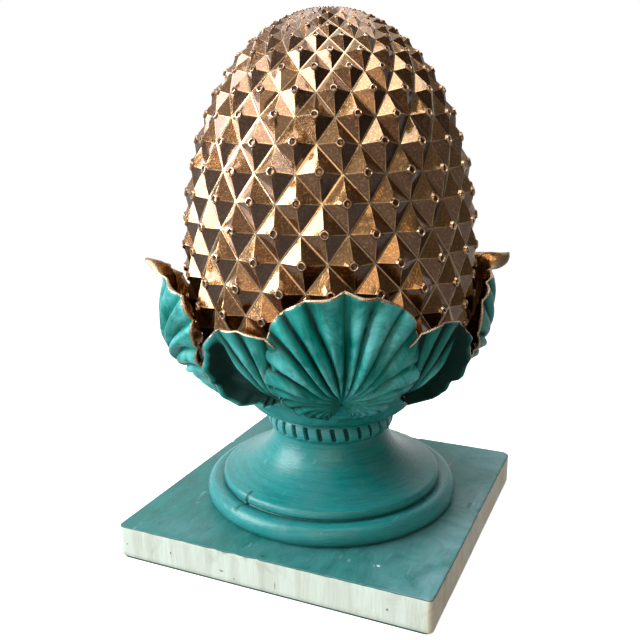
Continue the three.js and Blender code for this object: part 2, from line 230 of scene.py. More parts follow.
def plinth_outline(inset):
    """The slab's outline, anticlockwise from the front left corner, moved in by the inset."""
    arcs = []
    for corner, radius in enumerate(PLINTH_CORNERS):
        right, back = [(-1, -1), (1, -1), (1, 1), (-1, 1)][corner]
        tight = max(radius - inset, LEAST_CORNER)
        middle = PLINTH_HALF - inset - tight
        arc = []
        for step in range(PLINTH_CORNER_STEPS + 1):
            turn = math.pi + corner * QUARTER_TURN + step / PLINTH_CORNER_STEPS * QUARTER_TURN
            arc.append((middle * right + tight * math.cos(turn), middle * back + tight * math.sin(turn)))
        arcs.append(arc)
    points = []
    for arc, next_arc in zip(arcs, arcs[1:] + arcs[:1]):
        points += arc
        (x, y), (next_x, next_y) = arc[-1], next_arc[0]
        for step in range(1, PLINTH_SIDE_STEPS):
            share = step / PLINTH_SIDE_STEPS
            points.append((x + (next_x - x) * share, y + (next_y - y) * share))
    return points


def plinth_rings():
    """Insets and heights from the underside's edge up the sides and over the rounded edge to the top."""
    side_from = FELT_THICKNESS + PLINTH_LOWER_EDGE
    rings = [(1.5, FELT_THICKNESS), (0.4, FELT_THICKNESS)]
    rings += [(0.0, side_from + step * PLINTH_HEIGHT_STEP) for step in range(8)]
    for step in range(PLINTH_EDGE_STEPS + 1):
        turn = step / PLINTH_EDGE_STEPS * QUARTER_TURN
        height = PLINTH_TOP - PLINTH_EDGE + PLINTH_EDGE * math.sin(turn)
        rings.append((PLINTH_EDGE * (1 - math.cos(turn)), height))
    return rings + [(inset, PLINTH_TOP) for inset in PLINTH_TOP_INSETS]


def chipped(place):
    """How deep the chips go at a place."""
    sink = 0.0
    for chip_x, chip_y, chip_z, size, depth in PLINTH_CHIPS:
        gap = math.dist(place, (chip_x, chip_y, chip_z)) / size
        if gap < 1:
            sink += depth * (1 - gap * gap) * (0.7 + 0.6 * abs(wobble(place, 0.9, 8.0)))
    return sink


def plinth_mesh():
    """Returns points, faces, how far the teal paint covers each point, and the brush's places."""
    rings = plinth_rings()
    points, coats, strokes = [], [], []
    for inset, height in rings:
        for x, y in plinth_outline(inset):
            place = (x, y, height)
            drift = PLINTH_WARP * wobble(place, 45.0, 3.0) + PLINTH_DENTS * wobble(place, 9.0, 5.0)
            on_top = height > PLINTH_TOP - 0.01
            sink = chipped(place)
            pull = 1 - (max(drift, 0.0) + sink) / math.hypot(x, y)
            drop = 0.35 * max(-drift, 0.0) if on_top else 0.0
            points.append((x * pull, y * pull, height - drop - 0.6 * sink if height > 18 else height))
            coats.append(smooth_step(height - PLINTH_TOP, -0.95 + 0.5 * wobble(place, 7.0, 9.0), -0.25))
            side_stroke = ((x - y) * 0.3, (x + y) * 0.02, height * 0.03)
            strokes.append((x * 0.35, y * 0.12, 0.0) if on_top else side_stroke)
    return points, tube_faces(len(rings), len(plinth_outline(0.0))), coats, strokes


def new_group(name, inputs, outputs):
    """A node group with named inputs and outputs. Returns it, what it is given and what it makes."""
    group = bpy.data.node_groups.new(name, "ShaderNodeTree")
    for label, kind, value in inputs:
        socket = group.interface.new_socket(label, in_out="INPUT", socket_type="NodeSocket" + kind)
        if value is not None:
            socket.default_value = value
    for label, kind in outputs:
        group.interface.new_socket(label, in_out="OUTPUT", socket_type="NodeSocket" + kind)
    return group, group.nodes.new("NodeGroupInput").outputs, group.nodes.new("NodeGroupOutput").inputs


def use_group(tree, group, **inputs):
    node = tree.nodes.new("ShaderNodeGroup")
    node.node_tree = group
    for key, value in inputs.items():
        feed(node, key.replace("_", " ").capitalize(), value)
    return node.outputs


def brush_group():
    """Brush strokes: long soft streaks, fine bristle lines and cloudy patches of thin paint."""
    inputs = [("Place", "Vector", None), ("Streak size", "Float", 1.0), ("Patch size", "Float", 0.03)]
    outputs = [(label, "Float") for label in ("Streaks", "Bristles", "Patches")]
    group, given, made = new_group("brush_strokes", inputs, outputs)
    streaks = noise_value(given["Place"], given["Streak size"], 5.0, 0.6, 0.4)
    finer = times(given["Streak size"], 4.5)
    bristles = noise_value(given["Place"], finer, 3.0, 0.6, 0.2)
    body = object_place(group)
    patches = noise_value(body, given["Patch size"], 4.0, 0.6, 0.8)
    group.links.new(streaks, made["Streaks"])
    group.links.new(bristles, made["Bristles"])
    group.links.new(patches, made["Patches"])
    return group


def specks_group():
    """Pin-sized specks and pits, scattered one to a cell."""
    inputs = [("Density", "Float", 400.0), ("Share", "Float", 0.1), ("Size", "Float", 0.2)]
    group, given, made = new_group("specks", inputs, [("Specks", "Float")])
    body = object_place(group)
    cells = add_node(group, "TexVoronoi", {"Vector": body, "Scale": given["Density"]})
    near = calculate("LESS_THAN", cells.outputs["Distance"], given["Size"])
    drawn = add_node(group, "SeparateColor", {0: cells.outputs["Color"]}).outputs[0]
    chosen = calculate("LESS_THAN", drawn, given["Share"])
    group.links.new(times(near, chosen), made["Specks"])
    return group


def vector_maths(operation, inputs, output="Value"):
    return follow("VectorMath", dict(enumerate(inputs)), operation=operation)[output]


def marks_group():
    """A small mark at one place, drawn out along x and y, with ragged edges."""
    inputs = [("Centre", "Vector", (0.0, 0.0, 0.0)), ("Stretch", "Vector", (1.0, 1.0, 1.0))]
    inputs.append(("Size", "Float", 0.001))
    group, given, made = new_group("marks", inputs, [("Mark", "Float")])
    body = object_place(group)
    away = vector_maths("SUBTRACT", (body, given["Centre"]), "Vector")
    away = vector_maths("DIVIDE", (away, given["Stretch"]), "Vector")
    ragged = spread(noise_value(body, 900.0, 2.0), 0.3, 0.7, 0.6, 1.4)
    away = times(vector_maths("LENGTH", (away,)), ragged)
    near = calculate("DIVIDE", away, given["Size"])
    group.links.new(spread(near, 1.0, 0.75), made["Mark"])
    return group


def scratches_group():
    """Fine straight scratches in a few directions, each broken up along its length."""
    group, given, made = new_group("scratches", [("Amount", "Float", 0.5)], [("Scratches", "Float")])
    body = object_place(group)
    total = None
    for turn, scale in [(0.5, 55.0), (1.4, 48.0), (2.5, 62.0)]:
        drawn_out = {"Vector": body, "Rotation": (0.0, 0.0, turn), "Scale": (1.0, 0.06, 1.0)}
        turned = add_node(group, "Mapping", drawn_out).outputs[0]
        lines = spread(noise_value(turned, scale * 4, 2.0, 0.5, 0.1), 0.66, 0.72)
        broken = spread(noise_value(body, scale, 2.0), 0.55, 0.62)
        line = times(lines, broken)
        total = line if total is None else calculate("MAXIMUM", total, line)
    group.links.new(times(total, given["Amount"]), made["Scratches"])
    return group


BRUSH_STROKES = brush_group()
SPECKS = specks_group()
MARKS = marks_group()
SCRATCHES = scratches_group()
# Each mark's place, how far it is drawn out, its size, its colour and its strength.
PLINTH_MARKS = [
    ((62.7, -79.7, 21.5), (1.4, 0.8, 1.0), 0.9, colour(236, 242, 236), 1.0),
    ((60.3, -80.6, 21.5), (1.0, 1.0, 1.0), 0.4, colour(236, 242, 236), 0.9),
    ((92.0, 9.0, 21.5), (1.0, 3.4, 1.0), 1.5, colour(28, 84, 84), 0.7),
    ((94.5, 12.0, 21.5), (1.0, 3.0, 1.0), 1.0, colour(150, 190, 196), 0.6),
    ((-16.5, -89.5, 21.5), (0.7, 5.0, 1.0), 0.8, colour(20, 84, 80), 0.7),
    ((-14.0, -88.5, 21.5), (0.7, 5.0, 1.0), 0.7, colour(120, 184, 180), 0.5),
    ((-1.3, -96.0, 21.5), (1.0, 1.0, 1.0), 1.1, colour(16, 72, 66), 0.9),
    ((75.0, -99.8, 10.0), (1.0, 1.0, 1.0), 0.8, colour(92, 84, 66), 0.9),
    ((-27.0, -99.8, 8.0), (2.5, 1.0, 1.0), 0.7, colour(120, 112, 92), 0.8),
    ((-62.0, -99.8, 11.0), (1.0, 1.0, 1.0), 0.6, colour(84, 78, 60), 0.9),
    ((8.0, -99.8, 7.0), (0.6, 1.0, 3.0), 0.9, colour(160, 156, 134), 0.8),
]
TOP_DEEP = colour(22, 100, 96)
TOP_MAIN = colour(50, 136, 132)
TOP_WEAR_AND_REFLECTION = colour(132, 174, 182)
TEAL_PALE = colour(96, 200, 202)
TEAL_WORN = colour(96, 150, 158)
# A near black teal, used as painted shade.
TEAL_PAINTED_SHADE = colour(0, 34, 31)
CREAM_MAIN = colour(232, 248, 238)
CREAM_AGED = colour(174, 174, 152)
CREAM_WARM_LIGHT = colour(240, 200, 134)
PAINT_LINE = colour(10, 60, 56)
GRIME = colour(96, 88, 72)
SCRATCH_PALE = colour(150, 200, 198)
TOP_STREAKS = 0.35
TOP_PATCHES = 13.0


def attribute(tree, label, output="Fac"):
    return add_node(tree, "Attribute", attribute_name=label).outputs[output]


def teal_tone(tree, streak_size, patch_size, deep, main, bare=0.5, hollow=0.0, ridge=0.0, evenness=0.25):
    """Teal paint brushed thin and thick, pale on the bristle marks and worn in patches, with pale paint
    mixed in by the ridge amount and painted shade by the hollow amount.
    """
    brush = use_group(tree, BRUSH_STROKES, place=attribute(tree, "stroke_place", "Vector"),
                      streak_size=streak_size, patch_size=patch_size)
    tone = mix_colours(spread(brush["Streaks"], 0.5 - evenness, 0.5 + evenness), deep, main)
    bristles = spread(brush["Bristles"], 0.55, 0.9, 0.0, 0.3)
    tone = mix_colours(bristles, tone, TEAL_PALE)
    worn = spread(brush["Patches"], 0.48, 0.78, 0.0, bare)
    tone = mix_colours(worn, tone, TEAL_WORN)
    tone = mix_colours(ridge, tone, TEAL_PALE)
    # Painted shade, darker as the hollow amount rises.
    tone = mix_colours(hollow, tone, TEAL_PAINTED_SHADE)
    return tone, brush


def plinth_material():
    """Teal on top, paler and bluer to the right as wear and a painted reflection, over cream sides with
    painted warm light on the right face.
    """
    material, tree, shader = new_material("plinth_paint")
    coat = attribute(tree, "coat")
    teal, brush = teal_tone(tree, TOP_STREAKS, TOP_PATCHES, TOP_DEEP, TOP_MAIN, bare=0.7)
    body = object_place(tree)
    across = add_node(tree, "SeparateXYZ", {0: body}).outputs[0]
    # Towards the right of the top the teal turns pale blue, partly wear and partly a painted reflection,
    # patchy by noise.
    rubbed = spread(noise_value(body, 34.0, 5.0, 0.7, 0.8), 0.36, 0.62, 0.1, 0.7)
    wear_and_reflection = times(spread(across, 0.05, 0.095), rubbed)
    teal = mix_colours(wear_and_reflection, teal, TOP_WEAR_AND_REFLECTION)
    aged = spread(brush["Streaks"], 0.42, 0.8, 0.0, 0.6)
    cream = mix_colours(aged, CREAM_MAIN, CREAM_AGED)
    # Painted warm light: the right face of the cream sides turns warm tan and bright, patchy by noise.
    right_face_light = spread(noise_value(body, 60.0, 4.0, 0.7), 0.35, 0.65, 0.1, 0.8)
    right_face_light = times(spread(across, 0.094, 0.099), right_face_light)
    cream = mix_colours(right_face_light, cream, CREAM_WARM_LIGHT)
    smudges = spread(noise_value(body, 38.0, 5.0, 0.7, 1.5), 0.55, 0.8, 0.0, 0.5)
    cream = mix_colours(smudges, cream, CREAM_AGED)
    specks = use_group(tree, SPECKS, density=160.0, share=0.04, size=0.09)["Specks"]
    cream = mix_colours(times(specks, 0.7), cream, GRIME)
    base = mix_colours(coat, cream, teal)
    line = times(spread(coat, 0.15, 0.5), spread(coat, 1.0, 0.75))
    base = mix_colours(line, base, PAINT_LINE)
    scratches = use_group(tree, SCRATCHES, amount=times(coat, 0.4))["Scratches"]
    base = mix_colours(scratches, base, SCRATCH_PALE)
    for centre, stretch, size, tone, strength in PLINTH_MARKS:
        place = tuple(value * MM for value in centre)
        mark = use_group(tree, MARKS, centre=place, stretch=stretch, size=size * MM)["Mark"]
        base = mix_colours(times(mark, strength), base, tone)
    feed(shader, "Base Color", base)
    feed(shader, "Roughness", spread(brush["Streaks"], 0.3, 0.7, 0.36, 0.52))
    relief = plus(brush["Bristles"], times(brush["Streaks"], 1.5))
    feed(shader, "Normal", bump(relief, 0.00025))
    return material


plinth_points, plinth_faces, plinth_coats, plinth_strokes = plinth_mesh()
new_piece("plinth_painted", plinth_points, plinth_faces, plinth_material(), "plinth",
          plinth_coats, plinth_strokes)

# Turned foot
# Cast with a torus, a step and a bell that rises to a ring of slots, and painted teal all over.
# The brush went round it, and the mould's seam shows as a nick in the step.

TORUS_RADIUS = 82.0
TORUS_HEIGHT = 12.8
TORUS_WIDEST = 0.45
HOLLOW_RADIUS = 70.2
STEP_RADIUS = 71.4
STEP_TOP_RADIUS = 70.5
BELL_CURVE = [(69.6, 18.1), (54.0, 22.0), (39.5, 30.0), (37.4, 46.6)]
NECK_HEIGHT = 46.6
RING_RADIUS = 40.8
RING_TOP = 59.0
RING_TOP_RADIUS = 38.6
RING_MIDDLE = (NECK_HEIGHT + RING_TOP) / 2
RING_ARC = math.radians(62)
TORUS_STEPS = 24
BELL_STEPS = 34
RING_STEPS = 24
RING_SLOTS = 30
FIRST_SLOT = math.radians(1.2)
SLOT_FLOOR_RADIUS = 37.4
SLOT_HALF_HEIGHT = 4.1
# In degrees from a slot's middle: where its floor ends, where its wall ends, and its slant per mm.
SLOT_FLAT = 1.3
SLOT_HALF_WIDTH = 2.2
SLOT_SLANT = 0.28
SLOT_STEPS = [-6.0, -4.4, -3.4, -2.8, -2.3, -1.8, -1.3, -0.7, 0.0, 0.7, 1.3, 1.8, 2.3, 2.8, 3.4, 4.4]
SEAM_WIDTH = 0.8
SEAM_DEPTH = 0.9
SEAM_ANGLES = [math.radians(-23.5), math.radians(156.5)]


def around_axis(radius, angle, height):
    """A place by its distance from the axis, its angle from the front towards +X, and its height."""
    return (radius * math.sin(angle), -radius * math.cos(angle), height)


def bezier(corners, share):
    rest = 1 - share
    weights = (rest ** 3, 3 * rest * rest * share, 3 * rest * share * share, share ** 3)
    return tuple(sum(w * p[axis] for w, p in zip(weights, corners)) for axis in (0, 1))


def foot_profile():
    """Points up the outside of the foot, as distances from the axis and heights above the plinth."""
    middle = TORUS_HEIGHT * TORUS_WIDEST
    points = [(TORUS_RADIUS - middle * 0.55, 0.0), (TORUS_RADIUS - middle * 0.5, 0.3)]
    for step in range(TORUS_STEPS + 1):
        turn = math.radians(-50 + step * 142 / TORUS_STEPS)
        rise = TORUS_HEIGHT - middle if turn > 0 else middle
        points.append((TORUS_RADIUS - middle + middle * math.cos(turn), middle + rise * math.sin(turn)))
    points += [(73.4, 12.3), (71.4, 12.0), (HOLLOW_RADIUS + 0.3, 12.05), (HOLLOW_RADIUS, 12.4)]
    points += [(HOLLOW_RADIUS, 13.0), (HOLLOW_RADIUS + 0.4, 13.35)]
    points += [(STEP_RADIUS - 0.3, 13.45), (STEP_RADIUS, 13.8), (STEP_RADIUS - 0.15, 15.2)]
    points += [(STEP_RADIUS - 0.45, 16.6), (STEP_TOP_RADIUS + 0.1, 17.2)]
    points += [(STEP_TOP_RADIUS - 0.3, 17.7), (STEP_TOP_RADIUS - 0.7, 18.0)]
    points += [bezier(BELL_CURVE, step / BELL_STEPS) for step in range(BELL_STEPS + 1)]
    for step in range(1, RING_STEPS + 1):
        up = step / RING_STEPS
        swell = (math.cos(RING_ARC * (2 * up - 1)) - math.cos(RING_ARC)) / (1 - math.cos(RING_ARC))
        foot = RING_TOP_RADIUS - 1.2 * (1 - smooth_step(up, 0.0, 0.12))
        height = NECK_HEIGHT + (RING_TOP - NECK_HEIGHT) * up
        points.append((foot + (RING_RADIUS - RING_TOP_RADIUS) * swell, height))
    return points


def slot_depth(turn_degrees, height):
    lifted = abs(height - RING_MIDDLE)
    slanted = turn_degrees + SLOT_SLANT * (height - RING_MIDDLE)
    across = 1 - smooth_step(abs(slanted), SLOT_FLAT, SLOT_HALF_WIDTH)
    return across * (1 - smooth_step(lifted, SLOT_HALF_HEIGHT - 0.7, SLOT_HALF_HEIGHT + 0.3))


def foot_mesh():
    """Returns points, faces, how dark each point is, from painted shade in the slots and under the step and
    the dark seam nick (1), or how pale on the ring (-1), and the brush's places.
    """
    profile = foot_profile()
    turns = [(slot, step) for slot in range(RING_SLOTS) for step in SLOT_STEPS]
    points, coats, strokes = [], [], []
    length = 0.0
    for index, (radius, height) in enumerate(profile):
        if index:
            length += math.dist(profile[index], profile[index - 1])
        rising = smooth_step(height, NECK_HEIGHT + 1.5, NECK_HEIGHT + 3.5)
        on_ring = rising * (1 - smooth_step(height, RING_TOP - 3.0, RING_TOP - 1.0))
        under_step = math.exp(-((radius - 71.0) / 1.5) ** 2 - ((height - 12.4) / 1.1) ** 2)
        for slot, step in turns:
            angle = FIRST_SLOT + math.radians(slot * 360 / RING_SLOTS + step)
            depth = slot_depth(step + 0.5 * wobble((slot * 9.1, 0, 0), 1.0), height)
            out = radius + (min(radius, SLOT_FLOOR_RADIUS) - radius) * depth
            place = around_axis(out, angle, height)
            out += 0.22 * wobble(place, 26.0, 2.0) + 0.07 * wobble(place, 5.0, 4.0)
            # Painted shade in the slots and in the recess under the step, the dark seam nick, and paler
            # paint on the ring.
            hollow = (0.85 + 0.6 * on_ring) * depth - 0.6 * on_ring + 0.75 * under_step
            for seam in SEAM_ANGLES:
                gap = (math.remainder(angle - seam, 2 * math.pi)) * radius
                if 11 < height < 19:
                    nick = math.exp(-(gap / SEAM_WIDTH) ** 2)
                    out -= SEAM_DEPTH * nick
                    hollow += nick
                out += 0.4 * math.exp(-((gap + 3) / 2.2) ** 2 - ((height - 10) / 2.5) ** 2)
            points.append(around_axis(out, angle, PLINTH_TOP + height))
            coats.append(min(hollow, 1.0))
            strokes.append((place[0] * 0.05, place[1] * 0.05, length * 0.45))
    return points, tube_faces(len(profile), len(turns)), coats, strokes


FOOT_DEEP = colour(6, 116, 114)
FOOT_MAIN = colour(34, 164, 166)
FOOT_SCRATCHED = colour(130, 196, 196)
FOOT_STREAKS = 0.8
FOOT_PATCHES = 18.0
PAINT_SHEEN = 0.3


def foot_material():
    material, tree, shader = new_material("foot_paint")
    coat = attribute(tree, "coat")
    ridge = spread(coat, 0.0, -1.0, 0.0, 0.6)
    # The coat attribute mixes in painted shade, and pale paint on the ring.
    tone, brush = teal_tone(tree, FOOT_STREAKS, FOOT_PATCHES, FOOT_DEEP, FOOT_MAIN, 0.55, coat, ridge, 0.45)
    scratches = use_group(tree, SCRATCHES, amount=0.35)["Scratches"]
    feed(shader, "Base Color", mix_colours(scratches, tone, FOOT_SCRATCHED))
    feed(shader, "Roughness", spread(brush["Streaks"], 0.3, 0.7, 0.22, 0.34))
    feed(shader, "Coat Weight", PAINT_SHEEN / 2)
    feed(shader, "Coat Roughness", 0.25)
    relief = plus(brush["Bristles"], brush["Patches"])
    feed(shader, "Normal", bump(relief, 0.00022))
    return material


foot_points, foot_faces, foot_coats, foot_strokes = foot_mesh()
new_piece("foot_painted", foot_points, foot_faces, foot_material(), "turned_foot",
          foot_coats, foot_strokes)

# Leaf cup
# A bowl with four tall leaves and four short ones moulded on, all cast as one.
# Teal paint covers the outside up to the rims, and the inside is glazed in bronze like the cone.

CONE_RADIUS = 91.2
CONE_BELLY = 158.0
CONE_TOP = 303.0
CONE_BOTTOM = 83.0
CONE_LOWER_REACH = 78.0
CONE_UPPER_POWER = 2.1
CONE_LOWER_POWER = 3.0
BOWL_WALL = [(38.6, 59.0), (45.0, 61.0), (51.5, 64.5), (56.0, 72.0), (66.5, 81.0)]
BOWL_WALL += [(79.3, 92.0), (83.5, 98.0)]
BOWL_STEPS = 30
BOWL_AROUND = 160
# The bowl under the leaves is made paler as painted light.
BOWL_PAINTED_LIGHT = -0.4
BOWL_RADII = [radius for radius, _ in BOWL_WALL] + [80.0]
BOWL_HEIGHTS = [height for _, height in BOWL_WALL] + [108.0]
FIRST_LEAF = math.radians(27.6)
LEAF_THICKNESS = 3.2
LEAF_ROOT_DEPTH = 5.0
LEAF_ROOT_TOP = 14.0
LEAN_MIDDLE = 42.0
LEAN_SPREAD = 22.0
CURL_FROM = 66.0
CURL_FULL = 78.0
CUPPING_FROM = 12.0
CUPPING_FULL = 44.0
TIP_RISE = 2.5
# How each leaf departs from a plain one. Angles are in degrees and lengths in millimetres.
# A leaf's shade darkens all of it as painted shade, and below 0 lightens it as painted light.
PLAIN_LEAF = {"turn": 0.0, "lean": 0.0, "curl": 0.0, "tip": 0.0, "squareness": 2.5,
              "raise": 0.0, "twist": 0.0, "shade": 0.0}
BIG_SHAPES = [
    {"shade": -0.15},
    {"turn": 5.0, "curl": 7.5, "tip": 9.0, "squareness": 2.6, "twist": 0.75, "shade": 0.2},
    {"turn": 2.0, "tip": 8.0, "twist": 0.2},
    {"turn": 6.0, "lean": 2.5, "curl": 2.5, "tip": 9.0, "squareness": 3.1, "twist": -0.4, "shade": -0.45},
]
SMALL_SHAPES = [
    {"squareness": 2.2, "raise": 4.0, "shade": 0.6},
    {"squareness": 2.8, "shade": 0.1},
    {"squareness": 2.4, "raise": 1.0, "shade": 0.1},
    {"squareness": 2.8, "raise": 1.5, "shade": 0.3},
]
SMALL_LEAF_OFFSET = math.radians(20.2)
CREASE_ANGLE = math.radians(7)
SIDE_RIBS_FROM = math.radians(45)
SIDE_RIBS_LOW = math.radians(85)
TIP_ANGLE = math.radians(7.5)
SHOULDER_ANGLE = math.radians(22)
SHOULDER_WIDTH = math.radians(13)
BIG_LEAF = {
    "midline": [(58, 70), (69, 79), (81, 90), (88, 97.5), (94.5, 106.5), (98.5, 118), (101, 134),
                (101, 147), (104.5, 155), (114, 161)],
    "stem": 2, "middle": (0, 27), "half_width": 45, "half_height": 43, "cupping": 6.5,
    "wrap_radius": 98, "pleat_angle": math.radians(7), "pleated_to": math.radians(112),
    "notch": math.radians(150), "pleat_height": 3.3, "crease_depth": 4.0, "puff": 2.0,
    "rays": 236, "rings": 24,
}
SMALL_LEAF = {
    "midline": [(58, 72), (69, 80.5), (79, 90), (86.5, 98.5), (92, 110), (97, 124), (101.5, 136)],
    "stem": 2, "middle": (17, 21), "half_width": 27.5, "half_height": 25.5, "cupping": 2,
    "wrap_radius": 98, "pleat_angle": math.radians(9), "pleated_to": math.radians(112.5),
    "notch": math.radians(150), "pleat_height": 2.0, "crease_depth": 0.0, "puff": 0.0,
    "rays": 170, "rings": 30,
}
ROLL_FROM = math.radians(37.5)
ROLL_BLEND = math.radians(12.5)
LOBE_FROM = math.radians(78)
LOBE_FULL = math.radians(108)
TUCK_FROM = math.radians(-60)
TUCK_FULL = math.radians(-120)
ROLL_FULL_TO = math.radians(85)
ROLL_LOW_FROM = math.radians(125)
ROLL_MARGIN = 3.5
TUCK_DEPTH = 4.5
LOBE_LIFT = 3.2
LOBE_INNER_LIFT = 0.8
# How much darker the front leaf's left half is, and at 0.7 of it how much paler its right half is as a
# painted reflection.
FRONT_HALVES_TONE = 0.45


def cone_radius(height):
    if height >= CONE_BELLY:
        along = min((height - CONE_BELLY) / (CONE_TOP - CONE_BELLY), 1.0)
        return CONE_RADIUS * (1 - along ** CONE_UPPER_POWER) ** (1 / CONE_UPPER_POWER)
    along = min((CONE_BELLY - height) / CONE_LOWER_REACH, 1.0)
    return CONE_RADIUS * (1 - along ** CONE_LOWER_POWER) ** (1 / CONE_LOWER_POWER)


class Midline:
    """A smooth curve through points, walked by distance along it."""

    def __init__(self, points, steps=200):
        self.points = [Vector(point) for point in points]
        self.places = [self.at(step / steps) for step in range(steps + 1)]
        self.reached = [0.0]
        for before, after in zip(self.places, self.places[1:]):
            self.reached.append(self.reached[-1] + (after - before).length)
        chords = [(b - a).length for a, b in zip(self.points, self.points[1:])]
        self.chords = [sum(chords[:index]) for index in range(len(chords) + 1)]

    def at(self, share):
        points = self.points
        place = share * (len(points) - 1)
        index = min(int(place), len(points) - 2)
        t = place - index
        p0 = points[max(index - 1, 0)]
        p1, p2 = points[index], points[index + 1]
        p3 = points[min(index + 2, len(points) - 1)]
        pull0, pull1 = (p2 - p0) * 0.5, (p3 - p1) * 0.5
        return ((2 * p1 - 2 * p2 + pull0 + pull1) * t ** 3
                + (-3 * p1 + 3 * p2 - 2 * pull0 - pull1) * t ** 2 + pull0 * t + p1)

    def walk(self, share):
        """The place and direction at a share of the whole length."""
        target = min(max(share, 0.0), 1.0) * self.reached[-1]
        index = min(max(int(np.searchsorted(self.reached, target)), 1), len(self.reached) - 1)
        before, after = self.reached[index - 1], self.reached[index]
        part = (target - before) / (after - before)
        low, high = self.places[index - 1], self.places[index]
        return low + (high - low) * part, (high - low).normalized()


def leaf_reach(leaf, shape, angle):
    """How far a leaf's margin is from its stem in one direction, found by halving."""
    near, far = 0.0, 2.0 * (leaf["half_width"] + leaf["half_height"])
    while far - near > 0.01:
        reach = (near + far) / 2
        across = abs((reach * math.sin(angle) - leaf["middle"][0]) / leaf["half_width"])
        along = abs((reach * math.cos(angle) - leaf["middle"][1] - shape["raise"]) / leaf["half_height"])
        if across ** shape["squareness"] + along ** shape["squareness"] < 1:
            near = reach
        else:
            far = reach
    if leaf is SMALL_LEAF:
        ruffled = angle > ROLL_FROM + ROLL_BLEND
        scallops = 1.6 * math.sin(near * angle / 2.4 + 3 * math.sin(angle * 5)) - 0.8 if ruffled else 0.0
        rolled = ROLL_MARGIN * smooth_step(angle, ROLL_FROM, ROLL_FULL_TO)
        near += rolled * (1 - smooth_step(angle, ROLL_LOW_FROM, leaf["notch"]))
        near += scallops
    shoulder = 0.5 * math.exp(-(((abs(angle) - SHOULDER_ANGLE) / SHOULDER_WIDTH) ** 2))
    return near + shape["tip"] * (math.exp(-((abs(angle) / TIP_ANGLE) ** 1.2)) - shoulder)


def rib_shape(place):
    """1 on a rib's rounded back and -1 in the sharp groove between two ribs."""
    return 1 - 2 * abs(place % 2 - 1) ** 2.2


def pleat_relief(leaf, angle, outward, seed):
    """Ribs, crease and puffed lobes, and how deep in a groove (1) or high on a rib (-1) a place is, which
    sets its painted shade and highlight.
    """
    bowed = angle / (0.64 + 0.36 * outward)
    wander = bowed + math.radians(3.6) * wobble((angle * 5, outward * 2.2, seed), 1.0)
    fade_width = 2 * leaf["pleat_angle"]
    fade = smooth_step(leaf["pleated_to"] + fade_width - abs(angle), 0, fade_width)
    rib = rib_shape(wander / leaf["pleat_angle"])
    uneven = 1 + 0.65 * wobble((math.floor(wander / leaf["pleat_angle"] / 2) * 3.3, outward, seed), 1.0)
    side_fade = 1 - 0.5 * smooth_step(abs(angle), SIDE_RIBS_FROM, SIDE_RIBS_LOW)
    strength = math.sin(math.pi * outward ** 0.7 * 0.84) * smooth_step(outward, 0.04, 0.3)
    strength *= (0.35 + 0.65 * fade) * side_fade * uneven
    crease = -leaf["crease_depth"] * math.exp(-((wander / CREASE_ANGLE) ** 2)) * min(1.0, outward * 2)
    puff = leaf["puff"] * math.sin(math.pi * outward) * abs(math.sin(angle))
    return leaf["pleat_height"] * rib * strength + crease + puff, -rib * strength


def roll_relief(angle, outward, seed):
    """The rolled half of a short leaf: a deep hollow inside a ruffled margin that flares out, with painted
    shadow in the hollow and a paler margin as a painted highlight.
    """
    turn = (angle - ROLL_FROM) / ROLL_BLEND
    into = smooth_step(turn, 0, 1)
    bowl = smooth_step(outward, 0.05, 0.25) * (1 - smooth_step(outward, 0.8, 0.95))
    shadow = smooth_step(outward, 0.03, 0.12) * (1 - smooth_step(outward, 0.9, 0.95))
    ruffle = 1.2 * math.sin(turn * math.pi * 1.05) + 3.0 * wobble((turn * 1.9, seed, 0), 1.0)
    rise = 6.5 * (1 - 0.6 * smooth_step(angle, ROLL_FULL_TO, ROLL_LOW_FROM))
    margin = smooth_step(outward, 0.78, 0.95)
    folds = 1.0 * math.sin(turn * 2.6 + 4 * outward) * bowl
    # Its second value is the painted shadow in the hollow less the margin's painted highlight.
    return into * (-7.0 * bowl + folds + (rise + ruffle) * margin), into * (shadow * 1.7 - 0.9 * margin)


